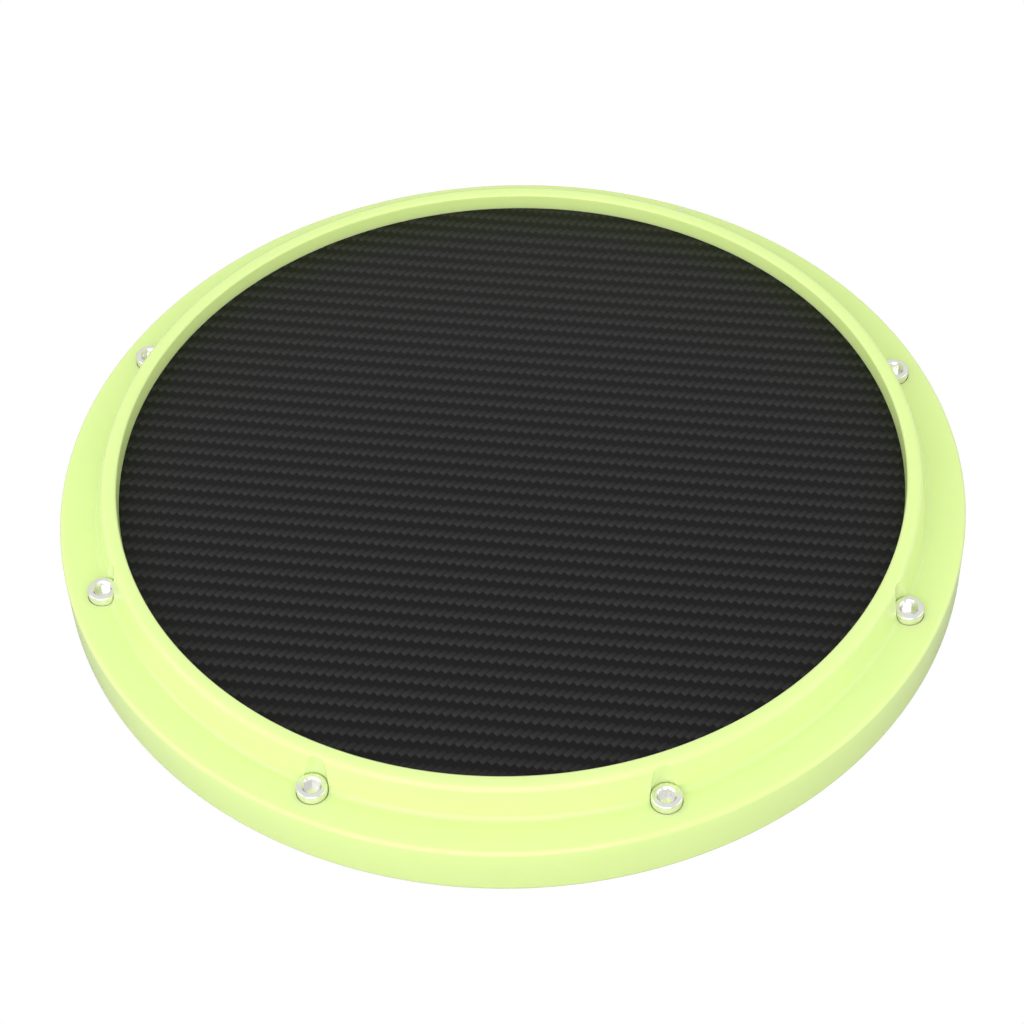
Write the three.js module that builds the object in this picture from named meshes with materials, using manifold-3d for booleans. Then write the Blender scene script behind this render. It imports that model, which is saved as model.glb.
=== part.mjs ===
// Practice pad for a drummer: a round board carries a rubber slab and a thin strike sheet, and a moulded
// rim ring, held by eight cap screws, clamps the sheet's edge. Millimetres, +Z up, the origin on the
// ground under the middle of the pad.
import * as THREE from "three";
import { mergeVertices } from "three/addons/utils/BufferGeometryUtils.js";
import Module from "manifold-3d";

const wasm = await Module();
wasm.setup();

// ---- driving dimensions, all in millimetres unless a name says degrees ----

// overall plan
const OUTER_RADIUS = 152.5; // a 12 inch pad
const SCREW_INSET = 10.8; // from the outermost point of the rim in to the screw circle
const SCREW_COUNT = 8;

// layers, from the ground up
const MAT_THICKNESS = 3;
const BOARD_THICKNESS = 12;
const RUBBER_THICKNESS = 10;
const SHEET_THICKNESS = 1.5;

// section of the rim ring
const GROUND_GAP = 0.75; // the rim's lower edge hangs this far above the ground
const RIM_OVERLAP = 2.85; // the rim covers the strike sheet's edge this far
const RIM_RISE = 6.25; // the crest stands this far above the strike sheet
const WALL_DRAFT = 0.2; // the inner wall leans back this far over its height
const CREST_WIDTH = 3.1; // flat top of the crest, with its inner round
const CREST_INNER_ROUND = 0.8;
const CREST_OUTER_ROUND = 2.5;
const SHELF_INSET = 2.1; // slope and shelf, run on past their fillet, meet this far inside the screw circle
const SHELF_HEIGHT = 5.5; // of the flat shelf above the board
const SHELF_FILLET = 2.5; // where the slope meets the shelf
const SHOULDER_ROUND = 1.5;
const SKIRT_WALL = 3.3;
const SKIRT_CHAMFER = 0.5; // of the skirt's inner lower edge
const SKIRT_LAND = 0.2; // flat left on the skirt's lower edge, inside the round

// coring pockets under the rim's shelf, one between each two screw bosses
const CORE_TOP_WALL = 3; // left over a pocket, under the shelf
const CORE_SIDE_WALL = 2.5;
const BOSS_RADIUS = 8;

// M6 x 16 cap screws and their threaded inserts
const SHANK_RADIUS = 3;
const SHANK_LENGTH = 12;
const HEAD_RADIUS = 4.9;
const HEAD_HEIGHT = 6;
const HEAD_CHAMFER = 0.5;
const SHANK_CHAMFER = 0.7;
const SOCKET_ACROSS_FLATS = 5;
const SOCKET_DEPTH = 3;
const SOCKET_CHAMFER = 0.3;
const SEAT_WEB = 2.6; // rim material between a screw's head and the board
const INSERT_RADIUS = 4.5;
const INSERT_BARB = 0.4; // the barbs stand this far above the insert's barrel
const INSERT_SHORT = 1.5; // an insert is this much shorter than the board is thick
const INSERT_BARBS = 2;
const INSERT_COLLAR = 1.5; // height of the plain band at the insert's top

// clearances
const HEAD_CLEARANCE = 0.35; // around a head in its seat
const SHANK_CLEARANCE = 0.3; // around a shank in the rim
const THREAD_CLEARANCE = 0.2; // between a shank and its insert
const INSERT_CLEARANCE = 0.2; // around an insert in the board
const SEAT_CLEARANCE = 0.02; // under a head, so that it bears on the seat without sharing its face
const BOARD_CLEARANCE = 0.3; // between the board and the rim's skirt
const PAD_CLEARANCE = 0.3; // between the pad layers and the rim's pocket
const SEAT_WALL = 1.5; // between the pad's pocket and a screw head's seat
const MAT_INSET = 1.4; // the mat's edge stays this far inside the board's
const EDGE_CHAMFER = 0.5; // of the board, the mat and the rubber slab
const SHEET_CHAMFER = 0.25;

// smoothness
const RING_SEGMENTS = 80;
const SCREW_SEGMENTS = 16;
const ROUND_STEPS = 4; // in a corner's arc

// ---- levels and radii that follow from them ----

const zBoardBottom = MAT_THICKNESS;
const zBoardTop = zBoardBottom + BOARD_THICKNESS;
const zRubberTop = zBoardTop + RUBBER_THICKNESS;
const zPlay = zRubberTop + SHEET_THICKNESS;
const zCrest = zPlay + RIM_RISE;
const zShelf = zBoardTop + SHELF_HEIGHT;
const zSeat = zBoardTop + SEAT_WEB;

const rSeat = HEAD_RADIUS + HEAD_CLEARANCE;
const rScrews = OUTER_RADIUS - SCREW_INSET;
const rShelf = rScrews - SHELF_INSET;
const rPocket = rScrews - rSeat - SEAT_WALL;
const rPad = rPocket - PAD_CLEARANCE;
const rFoot = rPad - RIM_OVERLAP;
const rSkirtInside = OUTER_RADIUS - SKIRT_WALL;
const rBoard = rSkirtInside - BOARD_CLEARANCE;
const rMat = rBoard - MAT_INSET;
const insertLength = BOARD_THICKNESS - INSERT_SHORT;

const screwStep = (2 * Math.PI) / SCREW_COUNT;
const screwAngles = Array.from({ length: SCREW_COUNT }, (_, i) => (i + 0.5) * screwStep);

// ---- shared helpers ----

const degrees = (angle) => (angle * Math.PI) / 180;

// Points on an arc in the section plane, as [radius, height] pairs, ends included.
function arc(r, z, radius, from, to, steps = ROUND_STEPS) {
  const points = [];
  for (let i = 0; i <= steps; i++) {
    const a = from + ((to - from) * i) / steps;
    points.push([r + radius * Math.cos(a), z + radius * Math.sin(a)]);
  }
  return points;
}

// A solid of revolution about Z from [radius, height] pairs that run upwards along its outside.
function turned(outline, segments = RING_SEGMENTS) {
  const points = outline.map(([r, z]) => new THREE.Vector2(r, z));
  return new THREE.LatheGeometry(points, segments).rotateX(Math.PI / 2);
}

// A solid cylinder that stands on z0 with both its edges chamfered.
function disc(radius, z0, z1, chamfer) {
  return turned([
    [0, z0],
    [radius - chamfer, z0],
    [radius, z0 + chamfer],
    [radius, z1 - chamfer],
    [radius - chamfer, z1],
    [0, z1],
  ]);
}

// A plain cylinder on the Z axis between two heights.
function plug(radius, z0, z1, segments = SCREW_SEGMENTS) {
  return turned([[0, z0], [radius, z0], [radius, z1], [0, z1]], segments);
}

// The closed mesh of a geometry as a solid for joining and cutting.
function solid(geometry) {
  const bare = geometry.index ? geometry.toNonIndexed() : geometry.clone();
  bare.deleteAttribute("normal");
  bare.deleteAttribute("uv");
  const merged = mergeVertices(bare, 1e-4);
  return new wasm.Manifold(
    new wasm.Mesh({
      numProp: 3,
      vertProperties: new Float32Array(merged.attributes.position.array),
      triVerts: new Uint32Array(merged.index.array),
    }),
  );
}

// A solid back as a geometry.
function geometryOf(manifold) {
  const mesh = manifold.getMesh();
  const geometry = new THREE.BufferGeometry();
  geometry.setAttribute("position", new THREE.BufferAttribute(mesh.vertProperties, 3));
  geometry.setIndex(new THREE.BufferAttribute(mesh.triVerts, 1));
  geometry.computeVertexNormals();
  return geometry;
}

// The geometry of a blank less its cutters, which are geometries too.
function cut(blank, cutters) {
  return geometryOf(cutters.reduce((left, cutter) => left.subtract(solid(cutter)), solid(blank)));
}

// A geometry on the Z axis moved out to the screw circle at an angle.
function atScrew(geometry, angle) {
  return geometry.translate(rScrews * Math.cos(angle), rScrews * Math.sin(angle), 0);
}

// ---- materials ----

const limePlastic = () =>
  new THREE.MeshStandardMaterial({ color: "#e6f9a0", roughness: 0.25, metalness: 0 });
const wovenLaminate = () =>
  new THREE.MeshStandardMaterial({ color: "#262627", roughness: 0.42, metalness: 0 });
const gumRubber = () =>
  new THREE.MeshStandardMaterial({ color: "#b98d5a", roughness: 0.8, metalness: 0 });
const birchPly = () =>
  new THREE.MeshStandardMaterial({ color: "#c9a877", roughness: 0.7, metalness: 0 });
const matRubber = () =>
  new THREE.MeshStandardMaterial({ color: "#1d1d1e", roughness: 0.85, metalness: 0 });
const nickelSteel = () =>
  new THREE.MeshStandardMaterial({ color: "#dcdad4", roughness: 0.18, metalness: 1 });
const zincSteel = () =>
  new THREE.MeshStandardMaterial({ color: "#b9b6a8", roughness: 0.35, metalness: 1 });

// ---- the rim ring ----

// Angle above the level at which the slope faces outwards, from the crest's outer round to the shelf.
function slopeAngle(rRound, zRound) {
  const away = Math.atan2(zRound - zShelf, rShelf - rRound);
  const reach = Math.hypot(rShelf - rRound, zRound - zShelf);
  return Math.acos(CREST_OUTER_ROUND / reach) - away;
}

function rimOutline() {
  const quarter = Math.PI / 2;
  const rWall = rFoot + WALL_DRAFT;
  const rCrest = rWall + CREST_WIDTH;
  const zCrestRound = zCrest - CREST_OUTER_ROUND;
  const slope = slopeAngle(rCrest, zCrestRound);
  const rFillet = rShelf + SHELF_FILLET * Math.tan(quarter / 2 - slope / 2);
  const rShoulder = OUTER_RADIUS - SHOULDER_ROUND;
  const footRound = SKIRT_WALL - SKIRT_CHAMFER - SKIRT_LAND;
  return [
    [rFoot, zPlay],
    [rPocket, zPlay],
    [rPocket, zBoardTop],
    [rSkirtInside, zBoardTop],
    [rSkirtInside, GROUND_GAP + SKIRT_CHAMFER],
    [rSkirtInside + SKIRT_CHAMFER, GROUND_GAP],
    ...arc(OUTER_RADIUS - footRound, GROUND_GAP + footRound, footRound, -quarter, 0),
    ...arc(rShoulder, zShelf - SHOULDER_ROUND, SHOULDER_ROUND, 0, quarter),
    ...arc(rFillet, zShelf + SHELF_FILLET, SHELF_FILLET, -quarter, slope - Math.PI),
    ...arc(rCrest, zCrestRound, CREST_OUTER_ROUND, slope, quarter),
    ...arc(rWall + CREST_INNER_ROUND, zCrest - CREST_INNER_ROUND, CREST_INNER_ROUND, quarter, Math.PI),
    [rFoot, zPlay],
  ];
}

// An arc-shaped pocket in the rim's underside, clear of the bosses at both its ends.
function corePocket(angle) {
  const rIn = rPocket + CORE_SIDE_WALL;
  const rOut = rSkirtInside - CORE_SIDE_WALL;
  const halfTurn = screwStep / 2 - Math.asin(BOSS_RADIUS / rScrews);
  const outline = new THREE.Shape();
  outline.absarc(0, 0, rOut, angle - halfTurn, angle + halfTurn, false);
  outline.absarc(0, 0, rIn, angle + halfTurn, angle - halfTurn, true);
  const below = 1;
  const depth = SHELF_HEIGHT - CORE_TOP_WALL;
  return new THREE.ExtrudeGeometry(outline, {
    depth: depth + below,
    bevelEnabled: false,
    curveSegments: 6,
  }).translate(0, 0, zBoardTop - below);
}

function rimRing() {
  const cutters = screwAngles.flatMap((angle) => [
    atScrew(plug(rSeat, zSeat, zCrest + 1), angle),
    atScrew(plug(SHANK_RADIUS + SHANK_CLEARANCE, zBoardTop - 1, zSeat + 1), angle),
    corePocket(angle + screwStep / 2),
  ]);
  return cut(turned(rimOutline()), cutters);
}

// ---- the layers of the pad ----

function strikeSheet() {
  return disc(rPad, zRubberTop, zPlay, SHEET_CHAMFER);
}

function rubberSlab() {
  return disc(rPad, zBoardTop, zRubberTop, EDGE_CHAMFER);
}

function baseBoard() {
  const holes = screwAngles.map((angle) =>
    atScrew(plug(INSERT_RADIUS + INSERT_CLEARANCE, zBoardBottom - 1, zBoardTop + 1), angle),
  );
  return cut(disc(rBoard, zBoardBottom, zBoardTop, EDGE_CHAMFER), holes);
}

function gripMat() {
  return disc(rMat, 0, zBoardBottom, EDGE_CHAMFER);
}

// ---- fasteners ----

// A socket cap screw whose head bears on z = 0, shank down.
function capScrew() {
  const blank = turned(
    [
      [0, -SHANK_LENGTH],
      [SHANK_RADIUS - SHANK_CHAMFER, -SHANK_LENGTH],
      [SHANK_RADIUS, SHANK_CHAMFER - SHANK_LENGTH],
      [SHANK_RADIUS, 0],
      [HEAD_RADIUS, 0],
      ...arc(HEAD_RADIUS - HEAD_CHAMFER, HEAD_HEIGHT - HEAD_CHAMFER, HEAD_CHAMFER, 0, Math.PI / 2, 2),
      [0, HEAD_HEIGHT],
    ],
    SCREW_SEGMENTS,
  );
  const rCorner = SOCKET_ACROSS_FLATS / 2 / Math.cos(Math.PI / 6);
  const zFloor = HEAD_HEIGHT - SOCKET_DEPTH;
  const above = 1;
  const socket = plug(rCorner, zFloor, HEAD_HEIGHT + above, 6);
  const rMouth = rCorner + SOCKET_CHAMFER;
  const mouth = turned(
    [
      [0, HEAD_HEIGHT - SOCKET_CHAMFER * 2],
      [rMouth - SOCKET_CHAMFER * 2, HEAD_HEIGHT - SOCKET_CHAMFER * 2],
      [rMouth + above, HEAD_HEIGHT + above],
      [0, HEAD_HEIGHT + above],
    ],
    SCREW_SEGMENTS,
  );
  return cut(blank, [socket, mouth]);
}

// A barbed sleeve whose top is at z = 0, with a clearance bore for the screw.
function threadedInsert() {
  const rBore = SHANK_RADIUS + THREAD_CLEARANCE;
  const rBarrel = INSERT_RADIUS - INSERT_BARB;
  const pitch = (insertLength - INSERT_COLLAR) / (INSERT_BARBS + 1);
  const barbs = Array.from({ length: INSERT_BARBS }, (_, i) => [
    [INSERT_RADIUS, -insertLength + (i + 1) * pitch],
    [rBarrel, -insertLength + (i + 1) * pitch],
  ]).flat();
  return turned(
    [
      [rBore, -insertLength],
      [rBarrel, -insertLength],
      ...barbs,
      [INSERT_RADIUS, -INSERT_COLLAR],
      [INSERT_RADIUS, 0],
      [rBore, 0],
      [rBore, -insertLength],
    ],
    SCREW_SEGMENTS,
  );
}

// ---- assembly ----

const group = new THREE.Group();

function add(name, geometry, material) {
  const mesh = new THREE.Mesh(geometry, material);
  mesh.name = name;
  group.add(mesh);
  return mesh;
}

add("rim_ring", rimRing(), limePlastic());
add("strike_sheet", strikeSheet(), wovenLaminate());
add("rubber_slab", rubberSlab(), gumRubber());
add("base_board", baseBoard(), birchPly());
add("grip_mat", gripMat(), matRubber());

screwAngles.forEach((angle, i) => {
  const x = rScrews * Math.cos(angle);
  const y = rScrews * Math.sin(angle);
  const screw = add(`cap_screw_${i + 1}`, capScrew(), nickelSteel());
  screw.position.set(x, y, zSeat + SEAT_CLEARANCE);
  screw.rotation.z = angle;
  const insert = add(`threaded_insert_${i + 1}`, threadedInsert(), zincSteel());
  insert.position.set(x, y, zBoardTop);
});

export default group;
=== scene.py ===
"""Practice pad: a round board with a rubber slab and a woven strike sheet, clamped by a moulded rim ring
and eight cap screws. Laid out as an add-on, and run as a script."""

import math

import bmesh
import bpy
from bpy.props import FloatProperty, FloatVectorProperty, IntProperty, PointerProperty
from mathutils import Matrix, Vector


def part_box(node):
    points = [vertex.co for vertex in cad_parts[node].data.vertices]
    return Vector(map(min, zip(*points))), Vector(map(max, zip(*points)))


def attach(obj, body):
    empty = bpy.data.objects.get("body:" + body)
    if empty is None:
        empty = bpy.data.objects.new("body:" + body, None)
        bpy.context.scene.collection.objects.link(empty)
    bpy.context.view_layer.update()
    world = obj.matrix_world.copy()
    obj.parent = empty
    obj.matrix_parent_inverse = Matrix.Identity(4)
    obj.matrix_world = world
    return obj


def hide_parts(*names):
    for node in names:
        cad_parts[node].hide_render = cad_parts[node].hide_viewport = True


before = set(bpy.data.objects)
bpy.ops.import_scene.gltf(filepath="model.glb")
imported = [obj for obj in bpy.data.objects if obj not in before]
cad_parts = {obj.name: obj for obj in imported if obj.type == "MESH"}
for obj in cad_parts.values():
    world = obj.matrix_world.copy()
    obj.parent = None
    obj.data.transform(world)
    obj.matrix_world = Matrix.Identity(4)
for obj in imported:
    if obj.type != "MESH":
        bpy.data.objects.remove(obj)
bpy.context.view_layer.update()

bl_info = {
    "name": "Practice Pad",
    "version": (1, 0, 0),
    "blender": (4, 5, 0),
    "location": "View3D > Sidebar > Practice Pad",
    "description": "Models a round drummer's practice pad with a clamped woven strike sheet",
    "category": "Object",
}

# ---- places that the frame gives ----

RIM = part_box("rim_ring")
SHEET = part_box("strike_sheet")
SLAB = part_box("rubber_slab")
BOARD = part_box("base_board")
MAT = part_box("grip_mat")
SCREWS = sorted(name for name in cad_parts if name.startswith("cap_screw_"))
INSERTS = sorted(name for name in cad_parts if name.startswith("threaded_insert_"))

# ---- numbers that several pieces share ----

MERGE = 1e-6  # points closer than this are one point
PAST = 0.001  # how far a cutter reaches past what it cuts
SEAT_GAP = 0.00002  # keeps a head's underside clear of its seat
FLOOR_DROP = 0.0001  # keeps the floor clear of the mat's underside
WIDE_SIDES = 256  # sides of the pad's layers
HEAD_SIDES = 64  # sides of a screw, its seat and its socket's mouth
HOLE_SIDES = 48  # sides of an insert and of the holes for inserts and shanks
HEAD_STEPS = 6  # steps in a screw's rounds
SMALL_STEPS = 3  # steps in the small rounds of layers and inserts
NOISE_LOW, NOISE_HIGH = 0.3, 0.7  # most of a noise texture's values lie between these


def half_width(box):
    """Half of a box's smaller side in plan, which is the radius of what is round in it."""
    return min(box[1].x - box[0].x, box[1].y - box[0].y) / 2


def middle(name):
    """Middle of a CAD node's box."""
    low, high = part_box(name)
    return (low + high) / 2


# ---- sizes and colours ----


def length(name, description, default):
    return FloatProperty(name=name, description=description, default=default, min=0.0, unit="LENGTH")


def count(name, description, default, least):
    return IntProperty(name=name, description=description, default=default, min=least)


def colour(name, description, default):
    return FloatVectorProperty(
        name=name, description=description, default=default, size=3, min=0.0, max=1.0, subtype="COLOR"
    )


class PadSizes(bpy.types.PropertyGroup):
    """Sizes of the pad's pieces."""

    outer_radius: length("Outer radius", "From the pad's middle to the rim's skirt", RIM[1].x)
    overlap: length("Rim overlap", "How far the rim covers the strike sheet's edge", 0.00285)
    pad_gap: length("Pad clearance", "Between the pad's layers and the rim's pocket", 0.0003)
    wall_draft: length("Wall draft", "How far the rim's inner wall leans back", 0.0002)
    crest_round: length("Crest inner round", "Round on the crest's inner edge", 0.0008)
    crest_outer_round: length("Crest outer round", "Round between the crest and the slope", 0.0025)
    slope_run: length("Slope run", "From the shelf's inner corner in to the crest's outer one", 0.00245)
    shelf_inset: length("Shelf inset", "How far inside the screw circle slope and shelf meet", 0.0021)
    shelf_height: length("Shelf height", "Height of the rim's shelf above the board", 0.0055)
    shelf_fillet: length("Shelf fillet", "Fillet where the slope meets the shelf", 0.0025)
    shoulder_round: length("Shoulder round", "Round between the shelf and the skirt", 0.0015)
    skirt_wall: length("Skirt wall", "Thickness of the rim's skirt", 0.0033)
    foot_round: length("Skirt foot round", "Round on the skirt's lower edge", 0.0026)
    skirt_round: length("Skirt inner round", "Round on the skirt's inner lower edge", 0.0005)
    mould_round: length("Mould round", "Small round on the rim's hidden corners", 0.00015)
    head_gap: length("Head clearance", "Around a screw's head in its seat", 0.0002)
    shank_radius: length("Shank radius", "Radius of a screw's shank", 0.003)
    shank_gap: length("Shank clearance", "Around a screw's shank in the rim", 0.0003)
    head_height: length("Head height", "Height of a screw's head", 0.006)
    head_round: length("Head round", "Round on the head's upper edge", 0.0006)
    head_foot_round: length("Head foot round", "Round on the head's lower edge", 0.0002)
    socket_flats: length("Socket width", "Across the flats of the hex socket", 0.005)
    socket_depth: length("Socket depth", "Depth of the hex socket", 0.003)
    socket_lead: length("Socket lead", "Bevel at the socket's mouth, past the hex's corners", 0.0003)
    insert_gap: length("Insert clearance", "Around an insert in the board", 0.0002)
    insert_barb: length("Insert barb", "Height of an insert's barbs", 0.0004)
    insert_barbs: count("Insert barbs", "Barbs below an insert's collar", 2, 0)
    insert_collar: length("Insert collar", "Height of the plain band at an insert's top", 0.0015)
    barb_round: length("Barb round", "Small round on an insert's edges", 0.0001)
    thread_gap: length("Thread clearance", "Between a screw's shank and its insert", 0.0002)
    edge_chamfer: length("Layer edge", "Bevel on the edges of the board, slab and mat", 0.0005)
    sheet_chamfer: length("Sheet edge", "Bevel on the edges of the strike sheet", 0.00025)
    groove_width: length("Groove width", "Width of the mat's grooves", 0.002)
    groove_depth: length("Groove depth", "Depth of the mat's grooves", 0.001)
    groove_floor: FloatProperty(
        name="Groove floor", description="Width of a groove's floor against its mouth", default=0.6, min=0.0
    )
    groove_count: count("Groove count", "Ring-shaped grooves under the mat", 11, 0)
    tow_width: length("Tow width", "Width of one tow of the weave", 0.00198)
    weave_turn: FloatProperty(
        name="Weave turn",
        description="Direction of the light tows",
        default=math.radians(40.1),
        subtype="ANGLE",
    )
    veneers: count("Veneers", "Veneers in the base board", 9, 1)
    round_steps: count("Round steps", "Steps in a rounded corner of the rim", 8, 2)
    turn_steps: count("Turn steps", "Steps in the rim's whole turn", 320, 16)


class PadColours(bpy.types.PropertyGroup):
    """Colours of the pad's finishes."""

    lime: colour("Lime", "Moulded rim ring", (0.752, 0.95, 0.355))
    # Painted sheen: the tows along X are painted lighter than the tows across them, though both are the
    # same black fibre.
    tow_painted_sheen: colour("Light tows", "Tows of the weave that catch the light", (0.031, 0.031, 0.031))
    tow_dark: colour("Dark tows", "Tows across them", (0.007, 0.007, 0.007))
    rubber: colour("Gum rubber", "Slab under the strike sheet", (0.46, 0.27, 0.10))
    birch: colour("Birch", "Face of the base board", (0.58, 0.39, 0.18))
    mat: colour("Mat rubber", "Grip mat", (0.012, 0.012, 0.013))
    nickel: colour("Nickel", "Cap screws", (0.93, 0.925, 0.89))
    zinc: colour("Zinc", "Threaded inserts", (0.49, 0.47, 0.39))
    floor: colour("Floor", "Studio floor", (0.5, 0.5, 0.5))


# ---- modelling helpers ----


def select_none():
    if bpy.context.object and bpy.context.object.mode != "OBJECT":
        bpy.ops.object.mode_set(mode="OBJECT")
    bpy.ops.object.select_all(action="DESELECT")


def edit():
    bpy.ops.object.mode_set(mode="EDIT")


def object_mode():
    bpy.ops.object.mode_set(mode="OBJECT")


def pick_end_edges():
    """Selects the edges round the edit mesh's upper and lower face, and nothing else."""
    bpy.ops.mesh.select_mode(type="EDGE")
    bpy.ops.mesh.select_all(action="DESELECT")
    data = bpy.context.object.data
    mesh = bmesh.from_edit_mesh(data)
    found = [edge for edge in mesh.edges if any(abs(face.normal.z) > 0.5 for face in edge.link_faces)]
    for edge in found:
        edge.select_set(True)
    mesh.select_flush_mode()
    bmesh.update_edit_mesh(data)
    if not found:
        raise RuntimeError(f"no edges found to bevel on {bpy.context.object.name}")


def draw_section(corners, steps):
    """Draws a closed section in the XZ plane from (radius, height, round) corners, as one loop of edges.
    A plane merged to one point starts it."""
    select_none()
    bpy.ops.mesh.primitive_plane_add(size=0.01)
    edit()
    bpy.ops.mesh.select_mode(type="VERT")
    bpy.ops.mesh.select_all(action="SELECT")
    bpy.ops.mesh.merge(type="CENTER")
    at = first = None
    for i, (radius, height, rounding) in enumerate(corners):
        corner = Vector((radius, height))
        back = (Vector(corners[i - 1][:2]) - corner).normalized()
        onward = (Vector(corners[(i + 1) % len(corners)][:2]) - corner).normalized()
        turn = math.pi - back.angle(onward)
        start = corner + back * rounding * math.tan(turn / 2)
        if at is None:
            first = start
            bpy.ops.transform.translate(value=(start.x, 0, start.y))
        else:
            extrude_to(at, start)
        at = start
        if rounding:
            centre = corner + (back + onward).normalized() * rounding / math.cos(turn / 2)
            way = -1 if back.cross(onward) > 0 else 1
            bpy.ops.mesh.spin(steps=steps, angle=way * turn, center=(centre.x, 0, centre.y), axis=(0, 1, 0))
            at = corner + onward * rounding * math.tan(turn / 2)
    extrude_to(at, first)
    bpy.ops.mesh.select_all(action="SELECT")
    bpy.ops.mesh.remove_doubles(threshold=MERGE)
    return bpy.context.object


def extrude_to(start, end):
    """Extrudes the selected vertex along a straight edge of the section."""
    step = (end.x - start.x, 0, end.y - start.y)
    bpy.ops.mesh.extrude_vertices_move(TRANSFORM_OT_translate={"value": step})


def turn_section(corners, steps, turns, name):
    """A closed solid of revolution about Z from a section's (radius, height, round) corners."""
    piece = draw_section(corners, steps)
    bpy.ops.mesh.select_all(action="SELECT")
    bpy.ops.mesh.spin(steps=turns, angle=math.tau, center=(0, 0, 0), axis=(0, 0, 1))
    bpy.ops.mesh.select_all(action="SELECT")
    bpy.ops.mesh.remove_doubles(threshold=MERGE)
    bpy.ops.mesh.delete_loose()
    bpy.ops.mesh.select_all(action="SELECT")
    bpy.ops.mesh.normals_make_consistent(inside=False)
    object_mode()
    piece.name = piece.data.name = name
    return piece


def rod(radius, low, high, sides, place=(0, 0)):
    """A cylinder between two heights, for cutting."""
    select_none()
    bpy.ops.mesh.primitive_cylinder_add(
        vertices=sides, radius=radius, depth=high - low, location=(*place, (low + high) / 2)
    )
    return bpy.context.object


def layer(name, box, chamfer):
    """A round layer of the pad that fills its box, with both its edges bevelled."""
    piece = rod(half_width(box), box[0].z, box[1].z, WIDE_SIDES)
    piece.name = piece.data.name = name
    apply_place(piece)
    edit()
    pick_end_edges()
    bpy.ops.mesh.bevel(offset=chamfer, offset_type="OFFSET", segments=SMALL_STEPS, profile=0.5)
    object_mode()
    return piece


def cut(piece, cutters):
    """Cuts the cutters, joined to one, out of the piece."""
    select_none()
    for cutter in cutters:
        cutter.select_set(True)
    bpy.context.view_layer.objects.active = cutters[0]
    if len(cutters) > 1:
        bpy.ops.object.join()
    tool = bpy.context.object
    select_none()
    bpy.context.view_layer.objects.active = piece
    piece.select_set(True)
    modifier = piece.modifiers.new("Cut", "BOOLEAN")
    modifier.operation = "DIFFERENCE"
    modifier.solver = "EXACT"
    modifier.object = tool
    bpy.ops.object.modifier_apply(modifier=modifier.name)
    bpy.data.objects.remove(tool)
    edit()
    bpy.ops.mesh.select_all(action="SELECT")
    bpy.ops.mesh.remove_doubles(threshold=MERGE)
    bpy.ops.mesh.dissolve_degenerate(threshold=MERGE)
    object_mode()


def copies(piece, places, names):
    """Copies a piece that stands on the Z axis to places round it, each copy with its own mesh."""
    made = []
    for name, (x, y) in zip(names, places):
        select_none()
        piece.select_set(True)
        bpy.context.view_layer.objects.active = piece
        bpy.ops.object.duplicate(linked=False)
        copy = bpy.context.object
        copy.data.transform(Matrix.Translation((x, y, 0)) @ Matrix.Rotation(math.atan2(y, x), 4, "Z"))
        copy.name = copy.data.name = name
        made.append(copy)
    bpy.data.objects.remove(piece)
    return made


def apply_place(piece):
    select_none()
    piece.select_set(True)
    bpy.context.view_layer.objects.active = piece
    bpy.ops.object.transform_apply(location=True, rotation=True, scale=True)


def finish_piece(piece, node, material, smooth=30):
    """Applies the piece's place, smooths it, gives it its finish, hides the node it replaces and hangs it
    under the root body.
    """
    apply_place(piece)
    bpy.ops.object.shade_smooth_by_angle(angle=math.radians(smooth))
    piece.data.materials.clear()
    piece.data.materials.append(material)
    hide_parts(node)
    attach(piece, "root")


# ---- shader helpers ----


def link(tree, value, socket):
    """Links a socket, or sets a plain value, on an input socket."""
    if isinstance(value, bpy.types.NodeSocket):
        tree.links.new(value, socket)
    else:
        socket.default_value = value


def calc(tree, operation, *values):
    """A Math node's result."""
    node = tree.nodes.new("ShaderNodeMath")
    node.operation = operation
    for value, socket in zip(values, node.inputs):
        link(tree, value, socket)
    return node.outputs[0]


def spread(tree, value, low, high, to_low, to_high):
    """A Map Range node's result."""
    node = tree.nodes.new("ShaderNodeMapRange")
    for given, socket in zip((value, low, high, to_low, to_high), node.inputs):
        link(tree, given, socket)
    return node.outputs[0]


def blend(tree, factor, first, second):
    """A colour between two colours."""
    node = tree.nodes.new("ShaderNodeMix")
    node.data_type = "RGBA"
    link(tree, factor, node.inputs[0])
    link(tree, first, node.inputs[6])
    link(tree, second, node.inputs[7])
    return node.outputs[2]


def toned(rgb, factor=1.0):
    """A colour made darker or paler, with its alpha."""
    return (*(channel * factor for channel in rgb), 1)


def noise(tree, vector, scale, detail=2.0, roughness=0.5):
    node = tree.nodes.new("ShaderNodeTexNoise")
    link(tree, vector, node.inputs["Vector"])
    link(tree, scale, node.inputs["Scale"])
    node.inputs["Detail"].default_value = detail
    node.inputs["Roughness"].default_value = roughness
    return node.outputs["Fac"]


def vary_roughness(tree, shader, mask, low, high):
    """Roughness between low and high, following a noise."""
    link(tree, spread(tree, mask, NOISE_LOW, NOISE_HIGH, low, high), shader.inputs["Roughness"])


def bump(tree, shader, height, distance, strength):
    node = tree.nodes.new("ShaderNodeBump")
    node.inputs["Strength"].default_value = strength
    node.inputs["Distance"].default_value = distance
    link(tree, height, node.inputs["Height"])
    tree.links.new(node.outputs["Normal"], shader.inputs["Normal"])


def place_in(tree, turn=0.0, scale=1.0):
    """Object coordinates, turned about Z and scaled."""
    coordinates = tree.nodes.new("ShaderNodeTexCoord")
    mapping = tree.nodes.new("ShaderNodeMapping")
    mapping.inputs["Rotation"].default_value = (0, 0, turn)
    mapping.inputs["Scale"].default_value = (scale, scale, scale)
    tree.links.new(coordinates.outputs["Object"], mapping.inputs["Vector"])
    return mapping.outputs["Vector"]


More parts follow.
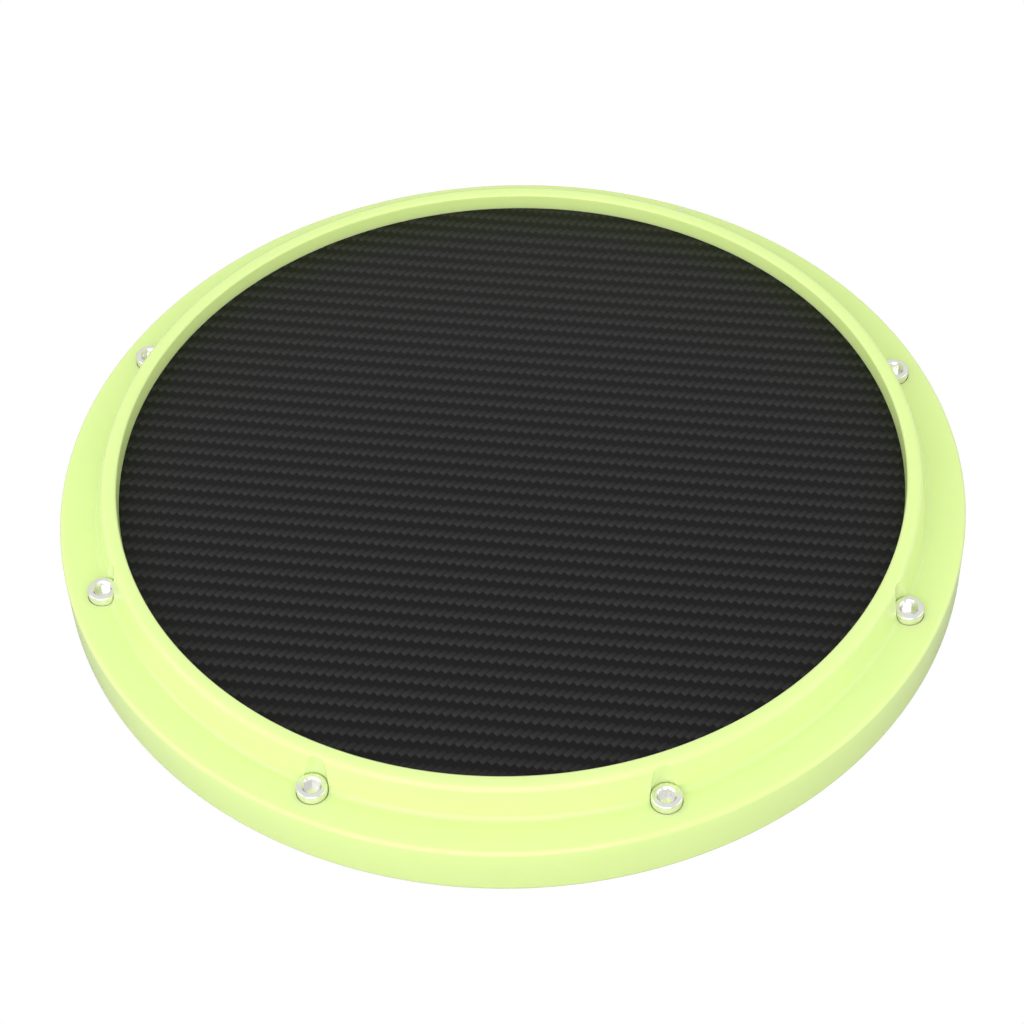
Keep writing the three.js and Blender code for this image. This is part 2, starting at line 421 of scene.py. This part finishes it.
def new_finish(name, rgb, roughness, metallic=0.0, specular=0.5, coat=0.0, coat_roughness=0.05):
    """A material with one Principled shader, and its tree and shader."""
    material = bpy.data.materials.new(name)
    material.use_nodes = True
    shader = material.node_tree.nodes["Principled BSDF"]
    shader.inputs["Base Color"].default_value = toned(rgb)
    shader.inputs["Roughness"].default_value = roughness
    shader.inputs["Metallic"].default_value = metallic
    shader.inputs["Specular IOR Level"].default_value = specular
    shader.inputs["Coat Weight"].default_value = coat
    shader.inputs["Coat Roughness"].default_value = coat_roughness
    return material, material.node_tree, shader


def new_group(name, inputs, outputs):
    """An empty shader node group with its two end nodes, from the kind of each named socket."""
    tree = bpy.data.node_groups.new(name, "ShaderNodeTree")
    for side, sockets in (("INPUT", inputs), ("OUTPUT", outputs)):
        for label, kind in sockets.items():
            tree.interface.new_socket(name=label, in_out=side, socket_type=f"NodeSocket{kind}")
    return tree, tree.nodes.new("NodeGroupInput"), tree.nodes.new("NodeGroupOutput")


def use_group(tree, group, **values):
    node = tree.nodes.new("ShaderNodeGroup")
    node.node_tree = group
    for label, value in values.items():
        link(tree, value, node.inputs[label.replace("_", " ")])
    return node.outputs


def grain_group():
    """Fine surface unevenness: a mottled tone, and a height with slow waves and a fine grain."""
    if "Fine grain" in bpy.data.node_groups:
        return bpy.data.node_groups["Fine grain"]
    tree, start, end = new_group(
        "Fine grain",
        {"Vector": "Vector", "Fine Scale": "Float", "Slow Scale": "Float"},
        {"Mottle": "Float", "Height": "Float"},
    )
    fine = noise(tree, start.outputs["Vector"], start.outputs["Fine Scale"], detail=3.0)
    slow = noise(tree, start.outputs["Vector"], start.outputs["Slow Scale"], detail=1.0)
    tree.links.new(slow, end.inputs["Mottle"])
    tree.links.new(calc(tree, "ADD", calc(tree, "MULTIPLY", fine, 0.35), slow), end.inputs["Height"])
    return tree


def twill_group():
    """A 2 by 2 twill over cells one tow wide: a mask of the tows along X, the weave's height, and a painted
    sheen on each tow, brightest at the start of a float."""
    tree, start, end = new_group(
        "Twill weave",
        {"Vector": "Vector"},
        {"Along": "Float", "Height": "Float", "Painted Sheen": "Float"},
    )
    split = tree.nodes.new("ShaderNodeSeparateXYZ")
    tree.links.new(start.outputs["Vector"], split.inputs[0])
    u, v = split.outputs[0], split.outputs[1]
    run = 2.0  # cells that a tow passes over, and then under
    column, row = calc(tree, "FLOOR", u), calc(tree, "FLOOR", v)
    across_u = calc(tree, "SUBTRACT", calc(tree, "FRACT", u), 0.5)
    across_v = calc(tree, "SUBTRACT", calc(tree, "FRACT", v), 0.5)
    phase_u = calc(tree, "FLOORED_MODULO", calc(tree, "ADD", u, row), 2 * run)
    phase_v = calc(tree, "FLOORED_MODULO", calc(tree, "ADD", calc(tree, "ADD", v, column), run), 2 * run)
    over = calc(tree, "LESS_THAN", phase_u, run)

    def tow(phase, across):
        """A tow's rise and fall along a float, its crown across it, and the sheen painted on it, brightest
        at the float's start.
        """
        arch = calc(tree, "MAXIMUM", calc(tree, "SINE", calc(tree, "MULTIPLY", phase, math.pi / run)), 0.0)
        dip = calc(tree, "MULTIPLY", calc(tree, "MULTIPLY", across, across), 4.0)
        crown = calc(tree, "POWER", calc(tree, "SUBTRACT", 1.0, dip), 0.5)
        # Painted sheen: bright at the start of a float, fading to a quarter at its end, and brightest on
        # the tow's crown.
        sheen_falloff = spread(tree, phase, 0.0, run, 1.0, 0.25)
        painted_sheen = calc(tree, "MULTIPLY", sheen_falloff, calc(tree, "POWER", crown, 0.6))
        return calc(tree, "MULTIPLY", spread(tree, arch, 0.0, 1.0, 0.4, 1.0), crown), painted_sheen

    height_u, painted_sheen_u = tow(phase_u, across_v)
    height_v, painted_sheen_v = tow(phase_v, across_u)
    for label, along, crossing in (("Height", height_u, height_v), ("Painted Sheen", painted_sheen_u, painted_sheen_v)):
        mix = tree.nodes.new("ShaderNodeMix")
        link(tree, over, mix.inputs[0])
        link(tree, crossing, mix.inputs[2])
        link(tree, along, mix.inputs[3])
        tree.links.new(mix.outputs[0], end.inputs[label])
    tree.links.new(over, end.inputs["Along"])
    return tree


# ---- finishes ----


def lime_plastic(colours):
    """Glossy moulded plastic that light enters a little."""
    material, tree, shader = new_finish(
        "lime_plastic", colours.lime, roughness=0.22, coat=0.2, coat_roughness=0.06
    )
    shader.inputs["Subsurface Weight"].default_value = 0.5
    shader.inputs["Subsurface Radius"].default_value = (1.0, 1.0, 0.7)
    shader.inputs["Subsurface Scale"].default_value = 0.004
    grain = use_group(tree, grain_group(), Vector=place_in(tree), Fine_Scale=900.0, Slow_Scale=45.0)
    mottled = blend(tree, grain["Mottle"], toned(colours.lime, 0.97), toned(colours.lime))
    link(tree, mottled, shader.inputs["Base Color"])
    vary_roughness(tree, shader, grain["Mottle"], 0.19, 0.26)
    bump(tree, shader, grain["Height"], distance=0.00004, strength=0.5)
    return material


def woven_laminate(sizes, colours):
    """Black tows in a twill under a satin face, with painted sheen: the tows along X are painted lighter
    than the tows across them.
    """
    material, tree, shader = new_finish("woven_laminate", colours.tow_dark, roughness=0.42, specular=0.15)
    cells = place_in(tree, -sizes.weave_turn, 1 / sizes.tow_width)
    weave = use_group(tree, twill_group(), Vector=cells)
    grain = use_group(tree, grain_group(), Vector=place_in(tree), Fine_Scale=2500.0, Slow_Scale=60.0)
    # Painted sheen: the tows along X take the lit colour, and every tow is painted darker towards the end
    # of its float.
    light = blend(tree, weave["Painted Sheen"], toned(colours.tow_painted_sheen, 0.2), toned(colours.tow_painted_sheen))
    dark = blend(tree, weave["Painted Sheen"], toned(colours.tow_dark, 0.6), toned(colours.tow_dark))
    link(tree, blend(tree, weave["Along"], dark, light), shader.inputs["Base Color"])
    vary_roughness(tree, shader, grain["Mottle"], 0.41, 0.44)
    bump(tree, shader, weave["Height"], distance=0.00012, strength=0.6)
    return material


def gum_rubber(colours):
    material, tree, shader = new_finish("gum_rubber", colours.rubber, roughness=0.8, specular=0.3)
    grain = use_group(tree, grain_group(), Vector=place_in(tree), Fine_Scale=1500.0, Slow_Scale=30.0)
    mottled = blend(tree, grain["Mottle"], toned(colours.rubber, 0.8), toned(colours.rubber))
    link(tree, mottled, shader.inputs["Base Color"])
    vary_roughness(tree, shader, grain["Mottle"], 0.74, 0.86)
    bump(tree, shader, grain["Height"], distance=0.0001, strength=0.6)
    return material


def birch_ply(sizes, colours):
    """Face grain along X, and veneers one above the other on the edge."""
    material, tree, shader = new_finish("birch_ply", colours.birch, roughness=0.55)
    coordinates = place_in(tree)
    stretch = tree.nodes.new("ShaderNodeMapping")
    stretch.inputs["Scale"].default_value = (6, 90, 6)
    tree.links.new(coordinates, stretch.inputs["Vector"])
    streak = noise(tree, stretch.outputs["Vector"], 1.0, detail=5.0, roughness=0.6)
    grain = spread(tree, streak, 0.35, NOISE_HIGH, 0.0, 1.0)
    face = blend(tree, grain, toned(colours.birch), toned(colours.birch, 0.68))
    split = tree.nodes.new("ShaderNodeSeparateXYZ")
    tree.links.new(coordinates, split.inputs[0])
    veneer = (BOARD[1].z - BOARD[0].z) / sizes.veneers
    layer_at = calc(tree, "FLOORED_MODULO", calc(tree, "DIVIDE", split.outputs[2], veneer * 2), 1.0)
    cross = calc(tree, "GREATER_THAN", layer_at, 0.5)
    edge = blend(tree, cross, toned(colours.birch, 1.1), toned(colours.birch, 0.5))
    geometry = tree.nodes.new("ShaderNodeNewGeometry")
    facing = tree.nodes.new("ShaderNodeSeparateXYZ")
    tree.links.new(geometry.outputs["Normal"], facing.inputs[0])
    flat = calc(tree, "GREATER_THAN", calc(tree, "ABSOLUTE", facing.outputs[2]), 0.9)
    link(tree, blend(tree, flat, edge, face), shader.inputs["Base Color"])
    vary_roughness(tree, shader, streak, 0.5, 0.62)
    bump(tree, shader, streak, distance=0.00008, strength=0.5)
    return material


def mat_rubber(colours):
    material, tree, shader = new_finish("mat_rubber", colours.mat, roughness=0.85, specular=0.35)
    grain = use_group(tree, grain_group(), Vector=place_in(tree), Fine_Scale=1800.0, Slow_Scale=25.0)
    mottled = blend(tree, grain["Mottle"], toned(colours.mat), toned(colours.mat, 1.8))
    link(tree, mottled, shader.inputs["Base Color"])
    vary_roughness(tree, shader, grain["Mottle"], 0.78, 0.9)
    bump(tree, shader, grain["Height"], distance=0.00015, strength=0.8)
    return material


def plated_steel(name, rgb, low, high, metallic=1.0):
    """Plating with a roughness between low and high."""
    material, tree, shader = new_finish(name, rgb, low, metallic=metallic)
    grain = use_group(tree, grain_group(), Vector=place_in(tree), Fine_Scale=4000.0, Slow_Scale=350.0)
    link(tree, blend(tree, grain["Mottle"], toned(rgb, 0.9), toned(rgb)), shader.inputs["Base Color"])
    vary_roughness(tree, shader, grain["Mottle"], low, high)
    bump(tree, shader, grain["Height"], distance=0.00001, strength=0.5)
    return material


def studio_floor(colours):
    """Grey card for the light that it throws back, and plain white to the camera."""
    material, tree, card = new_finish("studio_floor", colours.floor, roughness=0.9, specular=0.1)
    mottle = noise(tree, place_in(tree), 3.0)
    mottled = blend(tree, mottle, toned(colours.floor, 0.985), toned(colours.floor))
    link(tree, mottled, card.inputs["Base Color"])
    white = tree.nodes.new("ShaderNodeEmission")
    white.inputs["Color"].default_value = (1, 1, 1, 1)
    path = tree.nodes.new("ShaderNodeLightPath")
    swap = tree.nodes.new("ShaderNodeMixShader")
    tree.links.new(path.outputs["Is Camera Ray"], swap.inputs[0])
    tree.links.new(card.outputs[0], swap.inputs[1])
    tree.links.new(white.outputs[0], swap.inputs[2])
    tree.links.new(swap.outputs[0], tree.nodes["Material Output"].inputs["Surface"])
    return material


# ---- operators, one for each piece or group of like pieces ----


def screw_places():
    """Middle of each screw in plan."""
    return [middle(name).xy for name in SCREWS]


def rim_corners(sizes):
    """Corners of the rim's section: inner foot, pocket, skirt, shelf, slope, crest and inner wall."""
    pad = half_width(SHEET)
    foot = pad - sizes.overlap
    pocket = pad + sizes.pad_gap
    inside = sizes.outer_radius - sizes.skirt_wall
    shelf_edge = screw_places()[0].length - sizes.shelf_inset
    shelf = BOARD[1].z + sizes.shelf_height
    return [
        (foot, SHEET[1].z, 0.0),
        (pocket, SHEET[1].z, sizes.mould_round),
        (pocket, BOARD[1].z, sizes.mould_round),
        (inside, BOARD[1].z, sizes.mould_round),
        (inside, RIM[0].z, sizes.skirt_round),
        (sizes.outer_radius, RIM[0].z, sizes.foot_round),
        (sizes.outer_radius, shelf, sizes.shoulder_round),
        (shelf_edge, shelf, sizes.shelf_fillet),
        (shelf_edge - sizes.slope_run, RIM[1].z, sizes.crest_outer_round),
        (foot + sizes.wall_draft, RIM[1].z, sizes.crest_round),
    ]


class PAD_OT_rim_ring(bpy.types.Operator):
    """Model the moulded rim ring with its screw seats"""

    bl_idname = "practice_pad.rim_ring"
    bl_label = "Rim ring"

    def execute(self, context):
        sizes = context.scene.pad_sizes
        ring = turn_section(rim_corners(sizes), sizes.round_steps, sizes.turn_steps, "rim_moulding")
        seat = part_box(SCREWS[0])[1].z - sizes.head_height
        head = half_width(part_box(SCREWS[0])) + sizes.head_gap
        shank = sizes.shank_radius + sizes.shank_gap
        above = RIM[1].z + PAST
        below = BOARD[1].z - PAST
        cut(ring, [rod(head, seat - SEAT_GAP, above, HEAD_SIDES, place) for place in screw_places()])
        cut(ring, [rod(shank, below, seat + PAST, HOLE_SIDES, place) for place in screw_places()])
        finish_piece(ring, "rim_ring", lime_plastic(context.scene.pad_colours), smooth=32)
        return {"FINISHED"}


class PAD_OT_strike_sheet(bpy.types.Operator):
    """Model the woven strike sheet"""

    bl_idname = "practice_pad.strike_sheet"
    bl_label = "Strike sheet"

    def execute(self, context):
        sizes = context.scene.pad_sizes
        sheet = layer("strike_laminate", SHEET, sizes.sheet_chamfer)
        laminate = woven_laminate(sizes, context.scene.pad_colours)
        finish_piece(sheet, "strike_sheet", laminate)
        return {"FINISHED"}


class PAD_OT_rubber_slab(bpy.types.Operator):
    """Model the gum rubber slab under the strike sheet"""

    bl_idname = "practice_pad.rubber_slab"
    bl_label = "Rubber slab"

    def execute(self, context):
        sizes = context.scene.pad_sizes
        slab = layer("rubber_core", SLAB, sizes.edge_chamfer)
        finish_piece(slab, "rubber_slab", gum_rubber(context.scene.pad_colours))
        return {"FINISHED"}


class PAD_OT_base_board(bpy.types.Operator):
    """Model the plywood base board with its eight insert holes"""

    bl_idname = "practice_pad.base_board"
    bl_label = "Base board"

    def execute(self, context):
        sizes = context.scene.pad_sizes
        board = layer("plywood_base", BOARD, sizes.edge_chamfer)
        hole = half_width(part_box(INSERTS[0])) + sizes.insert_gap
        low, high = BOARD[0].z - PAST, BOARD[1].z + PAST
        cut(board, [rod(hole, low, high, HOLE_SIDES, place) for place in screw_places()])
        finish_piece(board, "base_board", birch_ply(sizes, context.scene.pad_colours))
        return {"FINISHED"}


class PAD_OT_grip_mat(bpy.types.Operator):
    """Model the grip mat with its ring-shaped grooves"""

    bl_idname = "practice_pad.grip_mat"
    bl_label = "Grip mat"

    def execute(self, context):
        sizes = context.scene.pad_sizes
        low, high, radius = MAT[0].z, MAT[1].z, half_width(MAT)
        pitch = radius / (sizes.groove_count + 1)
        mouth = sizes.groove_width / 2
        narrow = mouth * sizes.groove_floor
        floor = low + sizes.groove_depth
        section = [(0.0, low, 0.0)]
        for i in range(sizes.groove_count):
            at = (i + 1) * pitch
            section += [(at - mouth, low, 0.0), (at - narrow, floor, 0.0)]
            section += [(at + narrow, floor, 0.0), (at + mouth, low, 0.0)]
        section += [(radius, low, sizes.edge_chamfer), (radius, high, sizes.edge_chamfer), (0.0, high, 0.0)]
        mat = turn_section(section, SMALL_STEPS, WIDE_SIDES, "non_slip_mat")
        finish_piece(mat, "grip_mat", mat_rubber(context.scene.pad_colours))
        return {"FINISHED"}


def socket_mouth(corner, top, lead):
    """A 45 degree cone for cutting, wider at the head's top than the hex's corners by the lead."""
    select_none()
    bpy.ops.mesh.primitive_cone_add(
        vertices=HEAD_SIDES,
        radius1=corner - lead,
        radius2=corner + lead + PAST,
        depth=2 * lead + PAST,
        location=(0, 0, top + PAST / 2 - lead),
    )
    return bpy.context.object


class PAD_OT_cap_screws(bpy.types.Operator):
    """Model a socket cap screw and copy it to its eight places"""

    bl_idname = "practice_pad.cap_screws"
    bl_label = "Cap screws"

    def execute(self, context):
        sizes = context.scene.pad_sizes
        low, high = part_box(SCREWS[0])
        head = half_width((low, high))
        seat = high.z - sizes.head_height
        shank = sizes.shank_radius
        point = shank / 5
        section = [
            (0.0, low.z, 0.0),
            (shank - point, low.z, 0.0),
            (shank, low.z + point, 0.0),
            (shank, seat, 0.0),
            (head, seat, sizes.head_foot_round),
            (head, high.z, sizes.head_round),
            (0.0, high.z, 0.0),
        ]
        screw = turn_section(section, HEAD_STEPS, HEAD_SIDES, "cap_screw")
        corner = sizes.socket_flats / 2 / math.cos(math.pi / 6)
        cut(screw, [rod(corner, high.z - sizes.socket_depth, high.z + PAST, 6)])
        cut(screw, [socket_mouth(corner, high.z, sizes.socket_lead)])
        made = copies(screw, screw_places(), [f"cap_screw_detail_{i + 1}" for i in range(len(SCREWS))])
        rgb = context.scene.pad_colours.nickel
        nickel = plated_steel("nickel_steel", rgb, low=0.18, high=0.27, metallic=0.9)
        for piece, node in zip(made, SCREWS):
            finish_piece(piece, node, nickel)
        return {"FINISHED"}


class PAD_OT_inserts(bpy.types.Operator):
    """Model a barbed threaded insert and copy it to its eight places"""

    bl_idname = "practice_pad.inserts"
    bl_label = "Threaded inserts"

    def execute(self, context):
        sizes = context.scene.pad_sizes
        low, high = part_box(INSERTS[0])
        radius = half_width((low, high))
        bore = sizes.shank_radius + sizes.thread_gap
        barrel = radius - sizes.insert_barb
        pitch = (high.z - low.z - sizes.insert_collar) / (sizes.insert_barbs + 1)
        section = [(bore, low.z, 0.0), (barrel, low.z, 0.0)]
        for i in range(sizes.insert_barbs):
            barb = low.z + (i + 1) * pitch
            section += [(radius, barb, sizes.barb_round), (barrel, barb, sizes.barb_round)]
        section += [(radius, high.z - sizes.insert_collar, sizes.barb_round)]
        section += [(radius, high.z, sizes.barb_round), (bore, high.z, sizes.barb_round)]
        insert = turn_section(section, SMALL_STEPS, HOLE_SIDES, "threaded_insert")
        made = copies(insert, screw_places(), [f"insert_detail_{i + 1}" for i in range(len(INSERTS))])
        zinc = plated_steel("zinc_steel", context.scene.pad_colours.zinc, low=0.28, high=0.42)
        for piece, node in zip(made, INSERTS):
            finish_piece(piece, node, zinc)
        return {"FINISHED"}


def area_light(name, place, size, power):
    """A square soft light aimed at the pad."""
    aim = Vector((0, 0, 0.02)) - Vector(place)
    bpy.ops.object.light_add(type="AREA", location=place, rotation=aim.to_track_quat("-Z", "Y").to_euler())
    light = bpy.context.object
    light.name = name
    light.data.size = size
    light.data.energy = power


class PAD_OT_stage(bpy.types.Operator):
    """Set up the studio: floor, lights, surroundings and camera"""

    bl_idname = "practice_pad.stage"
    bl_label = "Studio"

    def execute(self, context):
        select_none()
        bpy.ops.mesh.primitive_plane_add(size=12, location=(0, 0, MAT[0].z - FLOOR_DROP))
        floor = bpy.context.object
        floor.name = "studio_floor"
        floor.data.materials.append(studio_floor(context.scene.pad_colours))
        area_light("front", place=(-0.15, -1.6, 0.95), size=2.0, power=19)
        area_light("left", place=(-1.6, -0.5, 1.0), size=1.4, power=6)
        area_light("right", place=(1.7, -0.1, 0.8), size=1.6, power=4)
        world = bpy.data.worlds.new("studio")
        world.use_nodes = True
        background = world.node_tree.nodes["Background"]
        background.inputs["Color"].default_value = (1, 1, 1, 1)
        background.inputs["Strength"].default_value = 0.78
        context.scene.world = world
        context.scene.view_settings.view_transform = "Standard"
        bpy.ops.object.camera_add(
            location=(0.04924, -0.60672, 0.68034),
            rotation=(math.radians(42.0035), math.radians(1.4905), math.radians(3.0025)),
        )
        camera = bpy.context.object
        camera.data.lens = 93.25
        camera.data.clip_start = 0.01
        context.scene.camera = camera
        return {"FINISHED"}


class PAD_PT_panel(bpy.types.Panel):
    """Sidebar panel with the pad's operators, sizes and colours"""

    bl_idname = "PAD_PT_panel"
    bl_label = "Practice Pad"
    bl_space_type = "VIEW_3D"
    bl_region_type = "UI"
    bl_category = "Practice Pad"

    def draw(self, context):
        for operator in OPERATORS:
            self.layout.operator(operator.bl_idname)
        for group in (context.scene.pad_sizes, context.scene.pad_colours):
            box = self.layout.box()
            for name in group.bl_rna.properties.keys():
                if name not in ("rna_type", "name"):
                    box.prop(group, name)


OPERATORS = (
    PAD_OT_rim_ring,
    PAD_OT_strike_sheet,
    PAD_OT_rubber_slab,
    PAD_OT_base_board,
    PAD_OT_grip_mat,
    PAD_OT_cap_screws,
    PAD_OT_inserts,
    PAD_OT_stage,
)
CLASSES = (PadSizes, PadColours, *OPERATORS, PAD_PT_panel)


def register():
    for cls in CLASSES:
        bpy.utils.register_class(cls)
    bpy.types.Scene.pad_sizes = PointerProperty(type=PadSizes)
    bpy.types.Scene.pad_colours = PointerProperty(type=PadColours)


def unregister():
    del bpy.types.Scene.pad_sizes
    del bpy.types.Scene.pad_colours
    for cls in reversed(CLASSES):
        bpy.utils.unregister_class(cls)


def main():
    register()
    bpy.ops.practice_pad.rim_ring()
    bpy.ops.practice_pad.strike_sheet()
    bpy.ops.practice_pad.rubber_slab()
    bpy.ops.practice_pad.base_board()
    bpy.ops.practice_pad.grip_mat()
    bpy.ops.practice_pad.cap_screws()
    bpy.ops.practice_pad.inserts()
    bpy.ops.practice_pad.stage()


if __name__ == "__main__":
    main()
